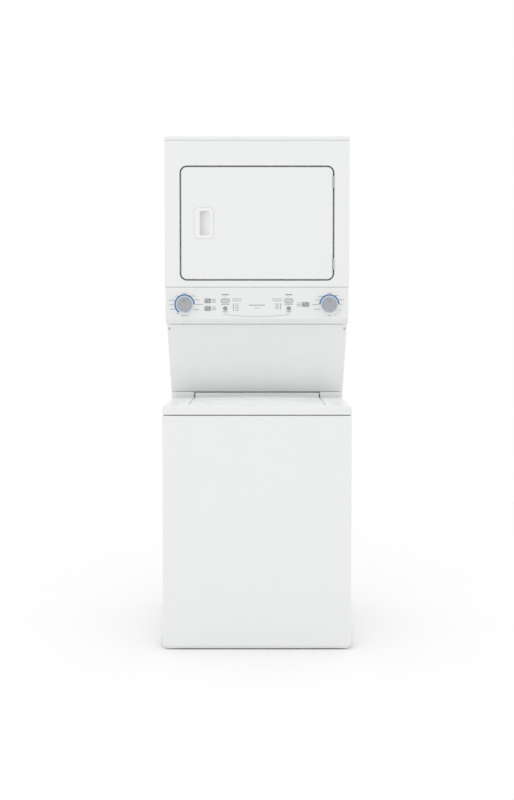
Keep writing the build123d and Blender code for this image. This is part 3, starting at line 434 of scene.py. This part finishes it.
def addNumber(x, z, text, height=4.2):
    bpy.ops.object.text_add(location=(x, face - ink / 2 * mm, z), rotation=(math.pi / 2, 0, 0))
    label = bpy.context.object
    label.data.body = text
    label.data.size = height * mm * 1.4
    label.data.extrude = ink / 2 * mm
    label.data.align_x = "CENTER"
    label.data.align_y = "CENTER"
    onlySelect(label)
    bpy.ops.object.convert(target="MESH")
    return bpy.context.object


def roundMarks(pieces, name, material):
    marks = joinPieces(pieces)
    applyModifier(marks, "BEVEL", width=0.08 * mm, segments=1, limit_method="ANGLE")
    finishPiece(marks, name, "frame", material, 30)


for name in dials:
    makeKnob(name)
    makeArc(name + "DialArc", dialCentre(name), dialShape["arcRadius"], dialShape["arcWidth"],
            dials[name]["arc"], 0, made["blueInk"])
halfChord, sagitta = smile["halfChord"], smile["sagitta"]
smileRadius = (halfChord ** 2 + sagitta ** 2) / (2 * sagitta)
smileTurn = math.degrees(math.asin(halfChord / smileRadius))
# grey band on the smile groove's floor: painted shade of the groove
makeArc("consoleSmileGrooveShade", (0, (smile["lowest"] + smileRadius) * mm), smileRadius, smile["width"],
        (270 + smileTurn, 270 - smileTurn), smile["depth"], made["greyInkAndPaintedShade"])

captions, titles = [], []
for name, dial in dials.items():
    x, z = dialCentre(name)
    for angle, width in dial["marks"]:
        way = Vector((math.cos(math.radians(angle)), 0, math.sin(math.radians(angle))))
        reach = dialShape["markRadius"] + width / 2 * abs(way.x) ** 2
        captions += addWord(x + way.x * reach * mm, z + way.z * dialShape["markRadius"] * mm, width)
    for angle, text in dial["numbers"]:
        way = Vector((math.cos(math.radians(angle)), 0, math.sin(math.radians(angle))))
        reach = (dialShape["markRadius"] + 4) * mm
        captions.append(addNumber(x + way.x * reach, z + way.z * reach, text))

rows = {"upper": 1268.5, "middle": 1255.0, "lower": 1240.0}
for side, lineX in ((-1, -160.0), (1, 155.0)):  # three lines beside each rectangular button
    heights = ("upper", "lower") if side < 0 else ("middle",)
    for row in heights:
        for line, width in ((5.6, 13), (0, 15), (-5.6, 14)):
            captions += addWord(lineX * mm, (rows[row] + line) * mm, width)
for side, lamps in ((-1, 5), (1, 4)):
    startX = side * 118.0
    titles += addWord(startX * mm, 1291 * mm, 25, 3.6)
    captions.append(addMark(startX * mm, 1283.5 * mm, 1.4, 2.4))
    captions += addWord(startX * mm, 1255.5 * mm, 31, 2.6)
    titles += addWord(startX * mm, 1227.5 * mm, 19, 2.4)
    columnX = side * 87.5
    for z, width in ((1275.5, 38), (1268.5, 34)):
        captions += addWord((columnX - side * (width / 2 - 5)) * mm, z * mm, width, 2.2)
    for lamp in range(lamps):
        captions += addWord((columnX - side * 13) * mm, (1256.5 - 5.8 * lamp) * mm, 14 - lamp % 2 * 2, 2.2)
titles += [addMark(0, 1252.5 * mm, 60, 2.2)]
captions += [addMark(0, 1241 * mm, 26, 1.4)]
roundMarks(captions, "consoleCaptions", made["greyInkAndPaintedShade"])
roundMarks(titles, "consoleTitles", made["darkInk"])


buttonFlange = 2.0  # a button's flange is that much wider than its cap, all round


def makeButtonOutline(node, band, inset):  # a grey ring just inside the edge of a button's cap; at the start buttons' edge it is painted shade of the gap round the cap
    low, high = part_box(node)
    centre = ((low.x + high.x) / 2, low.y, (low.z + high.z) / 2)
    less = 2 * (buttonFlange + inset) * mm
    wide, tall = high.x - low.x - less, high.z - low.z - less
    bpy.ops.mesh.primitive_plane_add(size=1, location=centre, rotation=(math.pi / 2, 0, 0))
    bpy.context.object.scale = (wide, tall, 1)
    ring = startPiece()
    bpy.ops.mesh.select_all(action="SELECT")
    bpy.ops.mesh.bevel(offset=min(wide, tall) * 0.498, segments=10, affect="VERTICES")
    bpy.ops.mesh.select_all(action="SELECT")
    bpy.ops.mesh.inset(thickness=band * mm, depth=0)
    bpy.ops.mesh.delete(type="FACE")
    bpy.ops.mesh.select_all(action="SELECT")
    extrudeBy(0, -0.2 * mm, 0)
    fixNormals()
    finishPiece(ring, node + "Outline", node, made["greyInkAndPaintedShade"], 30)


def makeButtonMarks(node):  # two short bars on a selector's cap
    low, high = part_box(node)
    pieces = []
    for across, up, width in ((-0.18, 0.14, 0.3), (0.16, -0.1, 0.26)):
        x = (low.x + high.x) / 2 + across * (high.x - low.x)
        z = (low.z + high.z) / 2 + up * (high.z - low.z)
        bpy.ops.mesh.primitive_cube_add(size=1, scale=((high.x - low.x) * width, 0.3 * mm, 2.2 * mm),
                                        location=(x, low.y, z))
        pieces.append(bpy.context.object)
    marks = joinPieces(pieces)
    applyModifier(marks, "BEVEL", width=0.1 * mm, segments=1, limit_method="ANGLE")
    finishPiece(marks, node + "Marks", node, made["paleInk"], 30)


for machine in dials:
    # the ring at each start button's edge is painted shade of the gap round its cap
    makeButtonOutline(machine + "_start_button", 1.1, 0.3)
    makeButtonOutline(machine + "_signal_button", 0.8, 1.6)
for node in ("temperature_button", "soil_button", "heat_button"):
    makeButtonMarks(node)
print("console: dials, arcs, buttons and printed marks")


# door handle and the hem under the front panel

handle = {"corner": 17.0, "seat": 1.6, "rim": ((0.8, 1.0), (0.6, 0.985), (0.2, 0.97)), "inset": 9.6,
          "pocketLeft": 20.5, "pocketRight": 13.5, "pocketHeight": 90.0, "undercut": 4.0, "floorWidth": 16.0,
          "lip": ((0.4, 1.4), (1.0, 1.0)), "lipWidth": 1.2, "straight": 3.2, "depth": 17.0,
          "floorShare": 0.97, "wall": 1.1, "seamShade": 1.1, "seamShadeWidth": 4.0, "seamShadeProud": 0.35}


def roundedPlate(low, high, y, grow, corner):  # a flat plate facing the front, in edit mode
    bpy.ops.mesh.primitive_plane_add(size=1, rotation=(math.pi / 2, 0, 0),
                                     location=((low.x + high.x) / 2, y, (low.z + high.z) / 2))
    bpy.context.object.scale = (high.x - low.x + 2 * grow * mm, high.z - low.z + 2 * grow * mm, 1)
    plate = startPiece()
    bpy.ops.mesh.select_all(action="SELECT")
    bpy.ops.mesh.bevel(offset=corner * mm, segments=8, affect="VERTICES")
    bpy.ops.mesh.select_all(action="SELECT")
    return plate


def makeHandle():  # a moulded bezel with a finger pocket that is deepest at the left
    low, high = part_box("door_handle")
    seatY = low.y + handle["seat"] * mm
    centre = Vector(((low.x + high.x) / 2, seatY, (low.z + high.z) / 2))
    left, right = low.x + handle["pocketLeft"] * mm, high.x - handle["pocketRight"] * mm

    def push(back):
        extrudeBy(0, back * mm, 0)

    def size(x, z, about):
        bpy.ops.transform.resize(value=(x, 1, z), center_override=about)

    cup = roundedPlate(low, high, seatY, 0, handle["corner"])
    wide, tall = high.x - low.x, high.z - low.z
    for out, share in handle["rim"]:
        push(-out)
        size(share, share, centre)
        wide, tall = wide * share, tall * share
    bpy.ops.mesh.inset(thickness=handle["inset"] * mm, depth=0)
    wide, tall = wide - 2 * handle["inset"] * mm, tall - 2 * handle["inset"] * mm
    pocketCentre = Vector(((left + right) / 2, seatY, centre.z))
    lipBoth = 2 * handle["lipWidth"]
    size((right - left + lipBoth * mm) / wide, (handle["pocketHeight"] + lipBoth) * mm / tall, centre)
    bpy.ops.transform.translate(value=(pocketCentre.x - centre.x, 0, 0))
    for back, shrink in handle["lip"]:  # the pocket's softened edge
        push(back)
        size(1 - shrink * mm / (right - left), 1 - shrink / handle["pocketHeight"], pocketCentre)
    push(handle["straight"])
    push(handle["depth"])
    size(handle["floorWidth"] * mm / (right - left), handle["floorShare"], (left, seatY, centre.z))
    bpy.ops.transform.translate(value=(-handle["undercut"] * mm, 0, 0))
    pickFaces(cup, lambda f: abs(f.normal.y) > 0.9 and abs(f.center.y - seatY) < 0.1 * mm)  # the first face
    bpy.ops.mesh.delete(type="FACE")
    applyModifier(cup, "SOLIDIFY", thickness=handle["wall"] * mm, offset=-1)
    finishPiece(cup, "doorHandleCup", "door", made["polishedAbs"], 40)
    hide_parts("door_handle")

    # a grey ring round the bezel, just proud of the door: painted shade of the seam between handle and door
    seamShade = roundedPlate(low, high, seatY, handle["seamShade"], handle["corner"] + handle["seamShade"])
    bpy.ops.mesh.inset(thickness=handle["seamShadeWidth"] * mm, depth=0)
    bpy.ops.mesh.delete(type="FACE")
    bpy.ops.mesh.select_all(action="SELECT")
    push(-handle["seamShadeProud"])
    fixNormals()
    finishPiece(seamShade, "doorHandleSeamShade", "door", made["sealRubberAndSeamShade"], 40)


makeHandle()

hem = {"inFromSide": 7.0, "low": 5.5, "overlap": 2.0, "back": (0.8, 3.4), "corner": 6.0}


def makeHem():  # the folded lower edge of the front panel
    low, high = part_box("washer_front_panel")
    bottom, top = hem["low"] * mm, low.z + hem["overlap"] * mm
    near, far = (low.y + depth * mm for depth in hem["back"])
    half = high.x - hem["inFromSide"] * mm
    bpy.ops.mesh.primitive_cube_add(size=1, scale=(2 * half, far - near, top - bottom),
                                    location=(0, (near + far) / 2, (bottom + top) / 2))
    strip = startPiece()
    pickFaces(strip, facing((0, 0, -1)))
    bpy.ops.transform.resize(value=(1 - hem["corner"] * mm / half, 1, 1), center_override=(0, 0, 0))
    applyModifier(strip, "BEVEL", width=0.7 * mm, segments=2, limit_method="ANGLE")
    finishPiece(strip, "frontPanelHem", "frame", made["bakedEnamelSteel"], 35)


makeHem()
print("door handle and hem")


# screws

screw = {"headRadius": 4.0, "headHeight": 2.2, "shoulder": (0.86, 0.8), "step": 0.1, "slotWidth": 1.1,
         "slotLength": 4.6, "slotDepth": 1.3, "seatFromMiddle": 1.85, "panelFlange": 20.0}


def solidBoxes(node):  # (low, high) of each solid in a CAD node, from a merged copy of its mesh
    whole = copyPiece(nodes[node])
    onlySelect(whole)
    bpy.ops.object.mode_set(mode="EDIT")
    bpy.ops.mesh.select_all(action="SELECT")
    bpy.ops.mesh.remove_doubles(threshold=0.01 * mm)
    bpy.ops.mesh.separate(type="LOOSE")
    bpy.ops.object.mode_set(mode="OBJECT")
    boxes = []
    for part in list(bpy.context.selected_objects):
        places = [vertex.co for vertex in part.data.vertices]
        boxes.append((Vector(map(min, zip(*places))), Vector(map(max, zip(*places)))))
        bpy.data.objects.remove(part)
    return boxes


def makeScrewHead():  # at the origin, facing up
    height, width = screw["headHeight"] * mm, screw["slotWidth"] * mm
    bpy.ops.mesh.primitive_cylinder_add(vertices=32, radius=screw["headRadius"] * mm, depth=height,
                                        location=(0, 0, height / 2))
    head = startPiece()
    pickFaces(head, facing((0, 0, 1)))
    for share in screw["shoulder"]:
        extrudeBy(0, 0, screw["step"] * mm)
        bpy.ops.transform.resize(value=(share, share, 1), center_override=(0, 0, 0))
    onlySelect(head)
    for turn in (0, math.pi / 2):
        bpy.ops.mesh.primitive_cube_add(size=1, location=(0, 0, height + 2 * screw["step"] * mm),
                                        rotation=(0, 0, turn),
                                        scale=(screw["slotLength"] * mm, width, 2 * screw["slotDepth"] * mm))
        cutter = bpy.context.object
        applyModifier(head, "BOOLEAN", operation="DIFFERENCE", object=cutter, solver="EXACT")
        bpy.data.objects.remove(cutter)
    return head


def makeScrews():
    pattern = makeScrewHead()
    low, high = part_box("recess_panel")
    lean = math.atan2(high.y - low.y - screw["panelFlange"] * mm, high.z - low.z)  # without its flange
    ways = {"back": (-math.pi / 2, Vector((0, 1, 0))),
            "recess": (math.pi / 2 + lean, Vector((0, -math.cos(lean), -math.sin(lean))))}
    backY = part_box("rear_panel")[1].y
    heads = []
    for low, high in solidBoxes("cabinet_screws"):
        turn, out = ways["back" if high.y > backY else "recess"]
        place = (low + high) / 2
        head = copyPiece(pattern)
        head.rotation_euler = (turn, 0, 0)
        if high.y > backY:
            place.y = backY
        else:
            place += out * screw["seatFromMiddle"] * mm
        head.location = place
        onlySelect(head)
        bpy.ops.object.transform_apply(location=True, rotation=True, scale=True)
        heads.append(head)
    bpy.data.objects.remove(pattern)
    count = len(heads)
    heads = joinPieces(heads)
    finishPiece(heads, "cabinetScrewHeads", "frame", made["zincPlate"], 30)
    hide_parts("cabinet_screws")
    return count


print("screws:", makeScrews())


# hanger springs, drawn as fixed coils of wire; the real ones shorten as the tub sinks

spring = {"wire": 2.0, "radius": 11.0, "turns": 9, "wireSides": 8, "stepsPerTurn": 28, "travel": 15.0}


def makeSprings():
    coils = []
    for low, high in solidBoxes("hanger_springs"):
        height = high.z - low.z - 2 * spring["wire"] * mm
        bpy.ops.mesh.primitive_circle_add(vertices=spring["wireSides"], radius=spring["wire"] * mm,
                                          rotation=(math.pi / 2, 0, 0),
                                          location=(spring["radius"] * mm, 0, 0))
        coil = startPiece()
        bpy.ops.mesh.select_all(action="SELECT")
        applyModifier(coil, "SCREW", angle=math.tau, screw_offset=height / spring["turns"],
                      iterations=spring["turns"], steps=spring["stepsPerTurn"],
                      render_steps=spring["stepsPerTurn"], use_merge_vertices=False)
        bpy.ops.object.mode_set(mode="EDIT")
        bpy.ops.mesh.select_mode(type="EDGE")
        bpy.ops.mesh.select_all(action="SELECT")
        bpy.ops.mesh.fill_holes(sides=0)  # the wire's two cut ends
        fixNormals()
        bpy.ops.object.mode_set(mode="OBJECT")
        coil.location = ((low.x + high.x) / 2, (low.y + high.y) / 2, low.z + spring["wire"] * mm)
        coils.append(coil)
    low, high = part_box("hanger_springs")
    count = len(coils)
    coils = joinPieces(coils)
    finishPiece(coils, "hangerCoils", "frame", made["zincPlate"], 50)
    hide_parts("hanger_springs")
    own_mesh(coils)
    return count


print("hanger springs:", makeSprings())


# perforated wash basket

basket = {"segments": 96, "rows": 31, "sheet": 1.0, "plainLow": 2, "plainHigh": 3, "holeInset": 5.0,
          "holeCorner": 2.1, "ringRadius": 236.0, "ringDepth": 26.0, "tubeRadius": 22.0, "floorBelow": 14.0,
          "floorRings": (0.8, 0.48)}


def makeBasket():
    low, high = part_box("wash_basket")
    radius = (high.x - low.x) / 2
    centreY = (low.y + high.y) / 2
    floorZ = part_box("agitator")[0].z - basket["floorBelow"] * mm
    rowHeight = (high.z - floorZ) / basket["rows"]

    def shrinkTo(share, z):  # about the basket's own axis
        bpy.ops.transform.resize(value=(share, share, 1), center_override=(0, centreY, z))

    bpy.ops.mesh.primitive_cylinder_add(vertices=basket["segments"], radius=radius, depth=rowHeight,
                                        location=(0, centreY, floorZ + rowHeight / 2),
                                        end_fill_type="NOTHING")
    wall = startPiece()
    pickRing(wall, floorZ + rowHeight)
    for row in range(basket["rows"] - 1):
        extrudeBy(0, 0, rowHeight)
    extrudeBy(0, 0, 0)
    shrinkTo(basket["ringRadius"] * mm / radius, high.z)
    extrudeBy(0, 0, -basket["ringDepth"] * mm)
    pickRing(wall, floorZ)
    reached = 1.0
    for share in (*basket["floorRings"], basket["tubeRadius"] * mm / radius):  # the floor, ring by ring
        extrudeBy(0, 0, 0)
        shrinkTo(share / reached, floorZ)
        reached = share
    extrudeBy(0, 0, low.z - floorZ)

    def isHole(polygon):  # every second face of the wall, row by row
        place = polygon.center - Vector((0, centreY, floorZ))
        row = int(place.z / rowHeight)
        step = int(math.atan2(place.y, place.x) / math.tau % 1 * basket["segments"])
        onWall = abs(polygon.normal.z) < 0.1 and place.xy.length > radius * 0.95
        inBand = basket["plainLow"] <= row < basket["rows"] - basket["plainHigh"]
        return onWall and inBand and (row + step) % 2 == 0

    pickFaces(wall, isHole)
    bpy.ops.mesh.inset(thickness=basket["holeInset"] * mm, use_individual=True)
    bpy.ops.mesh.delete(type="ONLY_FACE")
    bpy.ops.mesh.select_mode(type="VERT")
    bpy.ops.mesh.bevel(offset=basket["holeCorner"] * mm, segments=1, affect="VERTICES")
    fixNormals()
    applyModifier(wall, "SOLIDIFY", thickness=basket["sheet"] * mm, offset=-1)
    finishPiece(wall, "perforatedBasket", "basket", made["porcelainEnamel"], 30)
    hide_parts("wash_basket")
    return len(wall.data.polygons)


print("basket faces:", makeBasket())


# stage, light and camera

bpy.ops.mesh.primitive_plane_add(size=9, location=(0, -1.5, 0))
floor = startPiece()
onlySelect(floor)
floor.name = "studioFloor"
floor.data.materials.append(made["paintedFloor"])

lights = {  # name: (place, aimed at, (width, height), power)
    "keyPanel": ((-2.2, -4.6, 1.7), (0, -0.2, 0.95), (2.4, 2.4), 2),
    "frontPanel": ((-0.6, -3.4, 4.0), (0, -0.3, 0.9), (2.4, 2.4), 3),
    "floorPanel": ((0, -0.4, 4.8), (0, -0.4, 0), (3.4, 3.4), 10),
    "recessFill": ((0, -0.06, 1.025), (0, -0.832, 0.39), (0.62, 0.22), 0.3),  # soft light onto the lid
}
for name, (place, aim, (width, height), power) in lights.items():
    bpy.ops.object.light_add(type="AREA", location=place)
    lamp = bpy.context.object
    lamp.name = name
    lamp.data.shape = "RECTANGLE"
    lamp.data.size, lamp.data.size_y = width, height
    lamp.data.energy = power
    lamp.visible_camera = False
    lamp.rotation_euler = (Vector(aim) - Vector(place)).to_track_quat("-Z", "Y").to_euler()

world = bpy.data.worlds.new("paleRoom")
world.use_nodes = True
bpy.context.scene.world = world
sky = world.node_tree.nodes["Background"]
sky.inputs["Color"].default_value = linearHex("#FFFFFF")
sky.inputs["Strength"].default_value = 1.0
bpy.context.scene.view_settings.view_transform = "Standard"

view = {"distance": 4.2, "height": 1.227, "pitch": 2.0, "lens": 52.46, "horizon": 0.110}
front = cadBox[0][1]
bpy.ops.object.camera_add(location=(0, front - view["distance"], view["height"]),
                          rotation=(math.radians(90 - view["pitch"]), 0, 0))
camera = bpy.context.object
camera.data.lens = view["lens"]
camera.data.sensor_width = 36
camera.data.shift_y = -(view["horizon"] - math.tan(math.radians(view["pitch"])) * view["lens"] / 36)
bpy.context.scene.camera = camera
print("stage, light and camera")
